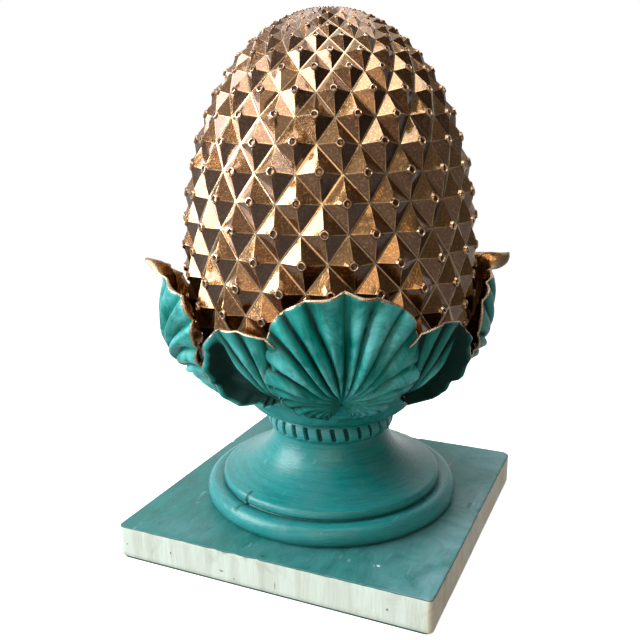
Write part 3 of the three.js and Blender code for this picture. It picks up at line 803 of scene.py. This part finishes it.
def leaf_shell(leaf, shape, stem_angle, side, seed):
    """One leaf as two skins joined by a rounded rim. Returns points, faces, glaze, grooves that set painted
    shade and highlight, and strokes.
    """
    midline = Midline(leaf["midline"])
    rays, rings = leaf["rays"], leaf["rings"]
    angles = [leaf["notch"] * (2 * ray / rays - 1) for ray in range(rays + 1)]
    if side < 0:
        angles.reverse()
    points, glaze, grooves, strokes = [], [], [], []
    has_tip = shape["tip"] > 0
    front_halves_tone = FRONT_HALVES_TONE if leaf is BIG_LEAF and not has_tip else 0.0

    def place(across, up, lift, glazed, groove, stroke, outside):
        """Adds the point that stands off the leaf's bent middle surface by the lift."""
        along = (midline.chords[leaf["stem"]] + up) / midline.chords[-1]
        point, tangent = midline.walk(along)
        turn = stem_angle + math.radians(shape["turn"]) + across / leaf["wrap_radius"]
        leaning = shape["lean"] * math.exp(-(((up - LEAN_MIDDLE) / LEAN_SPREAD) ** 2))
        bent = shape["curl"] * smooth_step(up, CURL_FROM, CURL_FULL)
        cupped = leaf["cupping"] * (across / leaf["half_width"]) ** 2
        cupped *= smooth_step(up, CUPPING_FROM, CUPPING_FULL)
        radius = point.x + leaning + bent - cupped + lift * tangent.y
        flare = smooth_step(up, CURL_FROM - 8.0, CURL_FULL) * has_tip
        turned = TIP_RISE - 0.1 * bent + min(shape["twist"] * across, 0.0)
        height = point.y - 0.9 * bent - lift * tangent.x + flare * turned
        if leaf is SMALL_LEAF:
            clear = cone_radius(min(height, CONE_BELLY)) + (LEAF_THICKNESS if outside else 0.0) + 0.3
            wall = float(np.interp(height, BOWL_HEIGHTS, BOWL_RADII)) + 0.6
            radius = max(radius, clear, wall if outside else 0.0)
        points.append(around_axis(radius, turn, PLINTH_TOP + height))
        glaze.append(glazed)
        grooves.append(groove)
        strokes.append(stroke)

    def reliefs(angle, outward):
        if leaf is SMALL_LEAF and angle > ROLL_FROM:
            plain, groove = pleat_relief(leaf, ROLL_FROM, outward, seed)
            rolled, depth = roll_relief(angle, outward, seed)
            blend = smooth_step(angle, ROLL_FROM, ROLL_FROM + ROLL_BLEND)
            # A leaf with more painted shade gets less of the rolled hollow's painted shadow.
            return plain * (1 - blend) + rolled, groove * (1 - blend) + depth * (1 - shape["shade"])
        return pleat_relief(leaf, angle, outward, seed)

    def skin_point(face, outward, angle, reach):
        """One point of the outer (1) or inner (-1) skin, at a share of the way out to the margin."""
        outside = face > 0
        up, across = reach * math.cos(angle), reach * math.sin(angle)
        relief, groove = reliefs(angle, outward)
        relief *= 1 - 0.8 * smooth_step(up, CURL_FROM - 6.0, CURL_FULL) * has_tip
        if not outside:
            relief = min(relief, relief * (1 - 0.5 * smooth_step(outward, 0.6, 1.0)))
        root = 0.0 if outside else LEAF_ROOT_DEPTH * (1 - smooth_step(up, 0, LEAF_ROOT_TOP))
        half = LEAF_THICKNESS / 2 * (1 - 0.6 * smooth_step(outward, 0.5, 1.0))
        lift = face * half - root + relief
        if leaf is SMALL_LEAF:
            lift -= TUCK_DEPTH * smooth_step(-angle, -TUCK_FROM, -TUCK_FULL) * outward
        else:
            drooping = smooth_step(abs(angle), LOBE_FROM, LOBE_FULL)
            lift += (LOBE_LIFT if outside else LOBE_INNER_LIFT) * drooping * outward ** 2
            # A painted shadow line along the lower margins of the drooping lobes.
            groove += 1.3 * drooping * smooth_step(outward, 0.94, 0.99)
        lift += 0.25 * wobble((up, across, seed * 9), 6.0)
        # The front leaf is darker on its left half and paler on its right half as a painted reflection.
        halves = smooth_step(-angle, 0.0, 0.5) - 0.7 * smooth_step(angle, 0.0, 0.5)
        # Each leaf's painted shade and painted light, by its shade value.
        groove += shape["shade"] + front_halves_tone * halves
        outer_glaze = smooth_step(outward, 0.965, 1.0) * 0.75
        glazed = outer_glaze if outside else 1.0 - 0.2 * smooth_step(outward, 0.8, 1.0)
        stroke = (reach * 0.05, angle * 16.0, seed * 7.0 + face)
        place(across * side, up, lift, glazed, groove if outside else 0.4, stroke, outside)

    reaches = [leaf_reach(leaf, shape, angle) for angle in angles]
    for face in (1, -1):
        root = LEAF_ROOT_DEPTH if face < 0 else 0.0
        place(0, 0, face * LEAF_THICKNESS / 2 - root, 0.0 if face > 0 else 1.0, 0.8, (0, 0, seed), face > 0)
        for ring in range(1, rings + 1):
            for angle, reach in zip(angles, reaches):
                skin_point(face, ring / rings, angle, reach * (ring / rings))
    return points, leaf_faces(rays, rings), glaze, grooves, strokes


def leaf_faces(rays, rings):
    """Triangles at the stem, quads along both skins, and the rim that joins them."""
    around = rays + 1
    skin = 1 + around * rings

    def at(face, ray, ring):
        return face * skin + (0 if ring == 0 else 1 + (ring - 1) * around + ray)

    faces = []
    for ray in range(rays):
        after = ray + 1
        faces.append((at(0, ray, 0), at(0, after, 1), at(0, ray, 1)))
        faces.append((at(1, ray, 0), at(1, ray, 1), at(1, after, 1)))
        for ring in range(1, rings):
            out = ring + 1
            faces.append((at(0, ray, ring), at(0, after, ring), at(0, after, out), at(0, ray, out)))
            faces.append((at(1, ray, ring), at(1, ray, out), at(1, after, out), at(1, after, ring)))
        faces.append((at(0, ray, rings), at(0, after, rings), at(1, after, rings), at(1, ray, rings)))
    for ring in range(rings):
        out = ring + 1
        faces.append((at(0, 0, ring), at(0, 0, out), at(1, 0, out), at(1, 0, ring)))
        faces.append((at(0, rays, out), at(0, rays, ring), at(1, rays, ring), at(1, rays, out)))
    return faces


def bowl_shell():
    """The bowl: its outside wall, its rim, and the hollow that the cone stands in."""
    wall = Midline(BOWL_WALL)
    profile = [tuple(wall.walk(step / BOWL_STEPS)[0]) for step in range(BOWL_STEPS + 1)]
    profile += [(83.2, 98.8), (82.0, 99.2), (80.0, 99.1), (77.5, 98.4)]
    profile += [(cone_radius(height) + 1.0, height) for height in (97.0, 94.7, 91.0, 88.0, 85.0, 83.4)]
    profile.append((30.0, CONE_BOTTOM - 0.3))
    points, glaze, strokes = [], [], []
    length = 0.0
    for index, (radius, height) in enumerate(profile):
        if index:
            length += math.dist(profile[index], profile[index - 1])
        for step in range(BOWL_AROUND):
            angle = step / BOWL_AROUND * 2 * math.pi
            place = around_axis(radius, angle, height)
            out = radius + (0.3 * wobble(place, 20.0, 6.0) if index > 1 else 0.0)
            points.append(around_axis(out, angle, PLINTH_TOP + height))
            glaze.append(1.0 if index > BOWL_STEPS + 1 else 0.0)
            strokes.append((place[0] * 0.05, place[1] * 0.05, length * 0.4))
    # Every bowl point gets the painted light value.
    return points, tube_faces(len(profile), BOWL_AROUND), glaze, [BOWL_PAINTED_LIGHT] * len(points), strokes


def cup_mesh():
    """The bowl and its eight leaves. Each short leaf rolls away from the tall leaf beside it."""
    shells = [bowl_shell()]
    for pair in range(4):
        big_angle = FIRST_LEAF + pair * QUARTER_TURN
        side = 1 if pair % 2 == 0 else -1
        small_angle = big_angle + QUARTER_TURN / 2 - side * SMALL_LEAF_OFFSET
        shells.append(leaf_shell(BIG_LEAF, PLAIN_LEAF | BIG_SHAPES[pair], big_angle, 1, pair + 1.3))
        shells.append(leaf_shell(SMALL_LEAF, PLAIN_LEAF | SMALL_SHAPES[pair], small_angle, side, pair + 5.7))
    points, faces, glaze, grooves, strokes = [], [], [], [], []
    for shell_points, shell_faces, *rest in shells:
        start = len(points)
        points += shell_points
        faces += [tuple(index + start for index in face) for face in shell_faces]
        for whole, part in zip((glaze, grooves, strokes), rest):
            whole += part
    return points, faces, glaze, grooves, strokes


GLAZE_DARK = colour(44, 26, 15)
GLAZE_BROWN = colour(138, 86, 36)
GLAZE_GOLD = colour(200, 152, 88)
GLAZE_SILVER_HIGHLIGHT = colour(226, 220, 206)
GLAZE_SPECK = colour(228, 190, 130)


def glaze_group():
    """Bronze lustre glaze: dark brown to gold as its input rises, and silver, a painted highlight, at the
    top, with fine gold specks.
    """
    inputs = [("Rubbed", "Float", 0.5)]
    outputs = [("Color", "Color"), ("Roughness", "Float"), ("Grain", "Float")]
    group, given, made = new_group("bronze_glaze", inputs, outputs)
    body = object_place(group)
    grain = noise_value(body, 900.0, 3.0, 0.6)
    clouds = noise_value(body, 70.0, 4.0, 0.6, 0.6)
    # The input carries painted light and shade, so its low end shows painted shade.
    tone = mix_colours(spread(given["Rubbed"], 0.0, 0.5), GLAZE_DARK, GLAZE_BROWN)
    tone = mix_colours(spread(given["Rubbed"], 0.5, 0.85), tone, GLAZE_GOLD)
    specked = spread(grain, 0.5, 0.66, 0.0, 0.9)
    tone = mix_colours(times(specked, given["Rubbed"]), tone, GLAZE_SPECK)
    # Silver at the top of the input is a painted highlight.
    tone = mix_colours(spread(given["Rubbed"], 0.86, 1.0), tone, GLAZE_SILVER_HIGHLIGHT)
    dull = spread(clouds, 0.45, 0.75, 0.0, 0.6)
    tone = mix_colours(dull, tone, mix_colours(0.5, tone, GLAZE_DARK))
    group.links.new(tone, made["Color"])
    group.links.new(spread(clouds, 0.3, 0.7, 0.12, 0.26), made["Roughness"])
    group.links.new(grain, made["Grain"])
    return group


BRONZE_GLAZE = glaze_group()
LEAF_DEEP = colour(0, 88, 82)
LEAF_MAIN = colour(0, 166, 156)
RIM_HIGHLIGHT = colour(216, 200, 176)
LEAF_STREAKS = 1.0
LEAF_PATCHES = 30.0


def cup_material():
    """Teal outside, with painted shade in the grooves and pale ribs, partly worn paint and partly a painted
    highlight, and bronze inside from the rims on.
    """
    material, tree, shader = new_material("leaf_paint_and_glaze")
    groove = attribute(tree, "groove")
    # Painted shade in the leaves' grooves and hollows.
    hollow = spread(groove, -0.05, 0.62, 0.0, 0.95)
    body = object_place(tree)
    rubbed = spread(noise_value(body, 45.0, 4.0, 0.7, 0.6), 0.4, 0.62)
    # Pale ribs, partly worn paint and partly a painted highlight.
    ridge = times(spread(groove, -0.15, -0.7, 0.0, 0.95), rubbed)
    teal, brush = teal_tone(tree, LEAF_STREAKS, LEAF_PATCHES, LEAF_DEEP, LEAF_MAIN, 0.3, hollow, ridge)
    # Pits show as specks of the painted shade colour.
    pits = use_group(tree, SPECKS, density=150.0, share=0.05, size=0.16)["Specks"]
    teal = mix_colours(times(pits, 0.8), teal, TEAL_PAINTED_SHADE)
    ragged = noise_value(body, 380.0, 3.0)
    coat = attribute(tree, "coat")
    edge = plus(coat, spread(ragged, 0.3, 0.7, -0.2, 0.2))
    glazed = spread(edge, 0.5, 0.58)
    # Inside the leaves the glaze is dark as painted shade, turning gold towards the rims as painted light.
    glaze = use_group(tree, BRONZE_GLAZE, rubbed=spread(coat, 0.75, 1.0, 0.8, 0.2))
    # A painted highlight along the rims.
    rim = spread(coat, 0.84, 0.78, 0.0, 0.7)
    inside = mix_colours(rim, glaze["Color"], RIM_HIGHLIGHT)
    feed(shader, "Base Color", mix_colours(glazed, teal, inside))
    paint_shine = spread(brush["Streaks"], 0.3, 0.7, 0.26, 0.42)
    paint_shine = mix_values(hollow, paint_shine, 0.9)
    feed(shader, "Roughness", mix_values(glazed, paint_shine, glaze["Roughness"]))
    feed(shader, "Metallic", times(glazed, 0.85))
    feed(shader, "Specular IOR Level", PAINT_SHEEN)
    relief = plus(brush["Bristles"], brush["Streaks"])
    feed(shader, "Normal", bump(relief, 0.00018))
    return material


cup_points, cup_faces, cup_glaze, cup_grooves, cup_strokes = cup_mesh()
cup = new_piece("leaf_cup_painted", cup_points, cup_faces, cup_material(), "leaf_cup",
                cup_glaze, cup_strokes)
# The groove attribute sets the leaves' painted shade and highlight.
groove_values = cup.data.attributes.new("groove", "FLOAT", "POINT").data
groove_values.foreach_set("value", np.array(cup_grooves, np.float32))

# Pinecone
# Cast hollow, with rows of four-sided scales that each carry a small boss with a dimple.
# It is glazed in bronze lustre, gold on the upper facets as painted light and dark on the lower facets and
# beneath as painted shade, with painted highlights on the beads and boss rims.

CONE_COLUMNS = 21
MARKED_ROW = 152.2
MARKED_ROW_ANGLE = math.radians(23.4)
CONE_TURN_PER_MM = math.radians(-0.062)
ROW_PITCH = 15.8
ROW_PITCH_RADIUS = 86.0
ROW_PITCH_POWER = 0.85
ROWS_BELOW_MARK = 4
CROWN_RADIUS = 12.0
SCALE_RELIEF = 6.0
BEAD_HEIGHTS = [0.55, 0.4, 0.55, 0.4]
# Painted highlights on the beads and ridges between scales.
BEAD_HIGHLIGHT_TONE = 1.0
RIDGE_HIGHLIGHT_TONE = 0.92
# Painted light on the upper right and upper left facets, painted shade on the lower left and lower right.
FACET_LIGHT_TONES = [0.5, 0.62, 0.36, 0.16]
FACET_SHARES = [0.0, 0.06, 0.34, 0.66, 0.94]
FACET_RINGS = [1.0, 0.935, 0.6, 0.27]
# The boss on each scale, from its foot inwards: half width, half height, depth below the scale's tip,
# how much its outline leans to a diamond, and its tone of painted light: a painted highlight on the rim,
# painted shade inside.
BOSS_RINGS = [
    (2.9, 3.1, 1.75, 0.6, 0.5),
    (2.6, 2.75, 1.25, 0.3, 0.6),
    (2.25, 2.3, 0.55, 0.0, 0.95),
    (1.85, 1.9, 0.45, 0.0, 0.95),
    (1.45, 1.5, 0.9, 0.0, 0.5),
    (1.15, 1.15, 1.6, 0.0, 0.25),
]
DIMPLE_DEPTH = 1.8
# Painted shade in the dimple.
DIMPLE_SHADE_TONE = 0.2
APEX_DEPTH = 0.35
TIP_SHIFT = 0.55
FACET_ROUGHNESS = 0.5
LIP_ROUGHNESS = 0.12
# Painted shade on the cone's underside.
UNDERSIDE_SHADE_TONE = 0.1


def walk_outline(height, distance):
    """The height reached by walking a distance up or down the cone's outline."""
    stride = math.copysign(0.05, distance)
    walked, reached = 0.0, height
    while walked < abs(distance) and reached < CONE_TOP - 0.1:
        walked += math.hypot(stride, cone_radius(reached + stride) - cone_radius(reached))
        reached += stride
    return reached


def row_pitch(height):
    return ROW_PITCH * min(1.0, cone_radius(height) / ROW_PITCH_RADIUS) ** ROW_PITCH_POWER


def row_heights():
    """Heights of the rows of scale tips, worked out from the one row that was measured."""
    heights = [MARKED_ROW]
    for _ in range(ROWS_BELOW_MARK):
        heights.insert(0, walk_outline(heights[0], -row_pitch(heights[0])))
    while cone_radius(heights[-1]) > CROWN_RADIUS:
        heights.append(walk_outline(heights[-1], row_pitch(heights[-1])))
    return heights


def outline_frame(height, angle):
    """The outline's point at a height and angle, and its outward and upward directions."""
    nudge = 0.2
    top = CONE_TOP - nudge - 0.01
    slope = (cone_radius(min(height, top) + nudge) - cone_radius(min(height, top) - nudge)) / (2 * nudge)
    length = math.hypot(1, slope)
    point = Vector(around_axis(cone_radius(height), angle, height))
    outward = Vector(around_axis(1 / length, angle, -slope / length))
    upward = Vector(around_axis(slope / length, angle, 1 / length))
    return point, outward, upward


def lattice_angle(height, column):
    drift = CONE_TURN_PER_MM * (height - MARKED_ROW)
    return MARKED_ROW_ANGLE + column * math.pi / CONE_COLUMNS + drift


def is_tip(row, column):
    """Tips of scales and the valley points between them alternate along a row."""
    return (row + column + ROWS_BELOW_MARK) % 2 == 0


def scale_lattice(heights):
    """Places of tips and valley points by row and column, each shifted a little."""
    draw = random.Random(11)
    nodes = {}
    for row, height in enumerate(heights):
        share = row_pitch(height) / ROW_PITCH
        for column in range(CONE_COLUMNS * 2):
            point, outward, upward = outline_frame(height, lattice_angle(height, column))
            sideways = upward.cross(outward)
            shift = TIP_SHIFT * share
            moved = sideways * draw.uniform(-shift, shift) + upward * draw.uniform(-shift, shift)
            if not is_tip(row, column):
                point = point - outward * (SCALE_RELIEF * share)
            nodes[row, column] = (point + moved, outward, upward, sideways, share)
    for column in range(CONE_COLUMNS * 2):
        foot = around_axis(cone_radius(CONE_BOTTOM), lattice_angle(CONE_BOTTOM, column), CONE_BOTTOM)
        nodes[-1, column] = (Vector(foot),)
    return nodes


def valley_points(start, end, bead):
    """Points along a valley between two scales, with a low bead along it."""
    line = []
    for part in FACET_SHARES:
        point = start.lerp(end, part)
        outward = (point - Vector((0, 0, max(min(point.z, CONE_BELLY), CONE_BOTTOM)))).normalized()
        line.append(point + outward * bead)
    return line


def boss_place(node, toward, boss_ring, seed):
    """A point of one ring of the boss, in the direction of a point of the scale's edge."""
    tip, outward, upward, sideways, share = node
    half_width, half_height, depth, sharp, _ = boss_ring
    across, along = toward.dot(sideways), toward.dot(upward)
    size = math.hypot(across / half_width, along / half_height) or 1.0
    diamond = abs(across) / half_width + abs(along) / half_height or 1.0
    reach = 1 / size * (1 - 0.5 * sharp) + 1 / diamond * 0.5 * sharp
    spot = tip + (sideways * across + upward * along) * (reach * share)
    lip = LIP_ROUGHNESS * wobble(spot, 1.1, seed)
    return spot - outward * ((depth + lip) * share)


def scale_rings(node, edge, seed):
    """One scale as rings of points with their tones of painted light and shade, from its beaded edge up to
    the boss.
    """
    tip, outward, _, _, share = node
    apex = tip - outward * (APEX_DEPTH * share)
    loop, bare, tones = [], [], []
    for quarter, (start, end) in enumerate(zip(edge, edge[1:] + edge[:1])):
        loop += valley_points(start, end, BEAD_HEIGHTS[quarter] * share)
        bare += [start.lerp(end, part) for part in FACET_SHARES]
        tones += [RIDGE_HIGHLIGHT_TONE] + [FACET_LIGHT_TONES[quarter]] * (len(FACET_SHARES) - 1)
    rings = [[(point, BEAD_HIGHLIGHT_TONE) for point in loop]]
    for reach in FACET_RINGS[1:]:
        ring = []
        for base, tone in zip(bare, tones):
            point = apex.lerp(base, reach)
            rough = FACET_ROUGHNESS * share * wobble(point, 6.0, seed) * (1 - reach ** 4)
            ring.append((point + outward * rough, tone))
        rings.append(ring)
    for boss_ring in BOSS_RINGS:
        rings.append([(boss_place(node, base - apex, boss_ring, seed), boss_ring[-1]) for base in bare])
    return rings


def cone_mesh():
    """Returns points, faces and each point's tone of painted light and shade."""
    heights = row_heights()
    around = CONE_COLUMNS * 2
    nodes = scale_lattice(heights)
    pole = Vector((0, 0, CONE_TOP - 1.2))
    points, faces, rubbed, welded = [], [], [], {}

    def add_point(point, value):
        key = (round(point.x, 3), round(point.y, 3), round(point.z, 3))
        if key not in welded:
            welded[key] = len(points)
            points.append((point.x, point.y, point.z + PLINTH_TOP))
            rubbed.append(value)
        return welded[key]

    for row in range(len(heights)):
        for column in range(around):
            if not is_tip(row, column):
                continue
            node = nodes[row, column]
            tip, outward, share = node[0], node[1], node[-1]
            left = nodes[row, (column - 1) % around][0]
            right = nodes[row, (column + 1) % around][0]
            over = pole if row == len(heights) - 1 else nodes[row + 1, column][0]
            under = nodes[row - 1, column][0]
            rings = []
            for ring in scale_rings(node, [right, over, left, under], row * 3.7 + column * 1.3):
                rings.append([add_point(point, tone) for point, tone in ring])
            count = len(rings[0])
            for outer, inner in zip(rings, rings[1:]):
                for step in range(count):
                    after = (step + 1) % count
                    corners = [outer[step], outer[after], inner[after], inner[step]]
                    faces.append(tuple(dict.fromkeys(corners)))
            centre = add_point(tip - outward * (DIMPLE_DEPTH * share), DIMPLE_SHADE_TONE)
            for step in range(count):
                faces.append((rings[-1][step], rings[-1][(step + 1) % count], centre))

    for column in range(around):
        if is_tip(0, column):
            continue
        peak = nodes[0, column][0]
        before, after = nodes[-1, (column - 1) % around][0], nodes[-1, (column + 1) % around][0]
        rising = [before.lerp(peak, part) for part in FACET_SHARES + [1.0]]
        falling = [peak.lerp(after, part) for part in FACET_SHARES + [1.0]]
        outline = [before, after] + falling[-2::-1] + rising[-2:0:-1]
        faces.append(tuple(dict.fromkeys(add_point(point, UNDERSIDE_SHADE_TONE) for point in outline)))
    feet = [nodes[-1, column][0] for column in range(around) if is_tip(0, column)]
    faces.append(tuple(reversed([add_point(foot, UNDERSIDE_SHADE_TONE) for foot in feet])))
    return points, [face for face in faces if len(face) > 2], rubbed


def cone_material():
    material, tree, shader = new_material("cone_glaze")
    glaze = use_group(tree, BRONZE_GLAZE, rubbed=attribute(tree, "coat"))
    feed(shader, "Base Color", glaze["Color"])
    feed(shader, "Roughness", glaze["Roughness"])
    feed(shader, "Metallic", 0.85)
    feed(shader, "Coat Weight", 1.0)
    feed(shader, "Coat Roughness", 0.07)
    feed(shader, "Coat IOR", 1.65)
    body = object_place(tree)
    hammered = bump(noise_value(body, 150.0, 1.0, 0.4, 0.3), 0.00025)
    feed(shader, "Normal", bump(glaze["Grain"], 0.0001, hammered))
    return material


cone_points, cone_faces, cone_rubbed_and_lit = cone_mesh()
cone = new_piece("pinecone_glazed", cone_points, cone_faces, cone_material(), "pinecone",
                 cone_rubbed_and_lit)
cone.data.set_sharp_from_angle(angle=math.radians(26))

# Floor, light and camera
# A plain pale floor, a wide window light on the left, a soft one above and a weak warm one in front.
# The camera stands where the photograph was taken from.

FLOOR_HALF = 1.5
LIGHT_TARGET = Vector((0, 0, 0.15))
WINDOW_SIDE = (-0.85, -0.35, 0.0)
BACK_SIDE = (-0.39, 0.92, 0.0)
CAMERA_PLACE = (0.1949, -0.4514, 0.2678)
CAMERA_RIGHT = Vector((0.9136, 0.4064, -0.0092))
CAMERA_DOWN = Vector((0.0963, -0.2382, -0.9664))
CAMERA_AHEAD = Vector((-0.395, 0.8821, -0.2567))
CAMERA_SENSOR = 36.0
CAMERA_LENS = 44.84


def make_floor():
    material, tree, shader = new_material("floor_white")
    feed(shader, "Base Color", (0.92, 0.92, 0.92, 1.0))
    feed(shader, "Roughness", 0.9)
    body = object_place(tree)
    away = vector_maths("LENGTH", (body,))
    feed(shader, "Alpha", spread(away, 0.35, 0.8, 1.0, 0.0))
    feed(shader, "Emission Color", (1.0, 1.0, 1.0, 1.0))
    feed(shader, "Emission Strength", 0.7)
    mesh = bpy.data.meshes.new("floor")
    corners = [(-1, -1), (1, -1), (1, 1), (-1, 1)]
    mesh.from_pydata([(x * FLOOR_HALF, y * FLOOR_HALF, 0) for x, y in corners], [], [(0, 1, 2, 3)])
    mesh.materials.append(material)
    floor = bpy.data.objects.new("floor", mesh)
    bpy.context.scene.collection.objects.link(floor)
    floor.visible_glossy = False
    floor.visible_diffuse = False


def make_light(name, azimuth, elevation, distance, width, height, power, tint):
    """A soft rectangular light that faces the finial, placed by its direction from it."""
    data = bpy.data.lights.new(name, "AREA")
    data.shape = "RECTANGLE"
    data.size = width
    data.size_y = height
    data.energy = power
    data.color = tint
    light = bpy.data.objects.new(name, data)
    bpy.context.scene.collection.objects.link(light)
    around, up = math.radians(azimuth), math.radians(elevation)
    direction = Vector(around_axis(math.cos(up), around, math.sin(up)))
    light.location = LIGHT_TARGET + direction * distance
    light.rotation_euler = direction.to_track_quat("Z", "Y").to_euler()


def make_world():
    """Pale all round for the camera, and for the object brighter above and to the left than below."""
    world = bpy.data.worlds.new("studio")
    world.use_nodes = True
    tree = world.node_tree
    tree.nodes.clear()
    direction = add_node(tree, "TexCoord").outputs["Generated"]
    left = vector_maths("DOT_PRODUCT", (direction, WINDOW_SIDE))
    height = add_node(tree, "SeparateXYZ", {0: direction}).outputs[2]
    above = spread(height, -0.5, 0.9, 0.35, 0.8)
    side = spread(left, -0.5, 0.9, 0.1, 0.9)
    behind = vector_maths("DOT_PRODUCT", (direction, BACK_SIDE))
    side = plus(side, spread(behind, 0.3, 0.95, 0.0, 1.2))
    strength = times(above, side)
    strength = plus(strength, spread(height, 0.05, -0.4, 0.0, 0.28))
    dim = add_node(tree, "Background", {"Color": (1, 1, 1, 1), "Strength": strength}).outputs[0]
    pale = add_node(tree, "Background", {"Color": (1, 1, 1, 1), "Strength": 1.0}).outputs[0]
    seen = add_node(tree, "LightPath").outputs["Is Camera Ray"]
    both = add_node(tree, "MixShader", {0: seen, 1: dim, 2: pale}).outputs[0]
    output = tree.nodes.new("ShaderNodeOutputWorld")
    tree.links.new(both, output.inputs["Surface"])
    bpy.context.scene.world = world


def make_camera():
    data = bpy.data.cameras.new("camera")
    data.sensor_width = CAMERA_SENSOR
    data.lens = CAMERA_LENS
    data.clip_start = 0.01
    data.clip_end = 50.0
    camera = bpy.data.objects.new("camera", data)
    bpy.context.scene.collection.objects.link(camera)
    turn = Matrix((CAMERA_RIGHT, -CAMERA_DOWN, -CAMERA_AHEAD)).transposed()
    camera.matrix_world = Matrix.Translation(CAMERA_PLACE) @ turn.to_4x4()
    bpy.context.scene.camera = camera


make_floor()
make_light("window", -58.0, 24.0, 1.3, 1.0, 0.9, 22.0, (0.94, 0.98, 1.0))
make_light("overhead", 20.0, 82.0, 1.2, 0.9, 0.9, 8.0, (1.0, 1.0, 1.0))
make_light("front", 18.0, 20.0, 1.6, 1.0, 0.8, 4.2, (1.0, 0.76, 0.46))
make_world()
make_camera()
bpy.context.scene.view_settings.view_transform = "Standard"
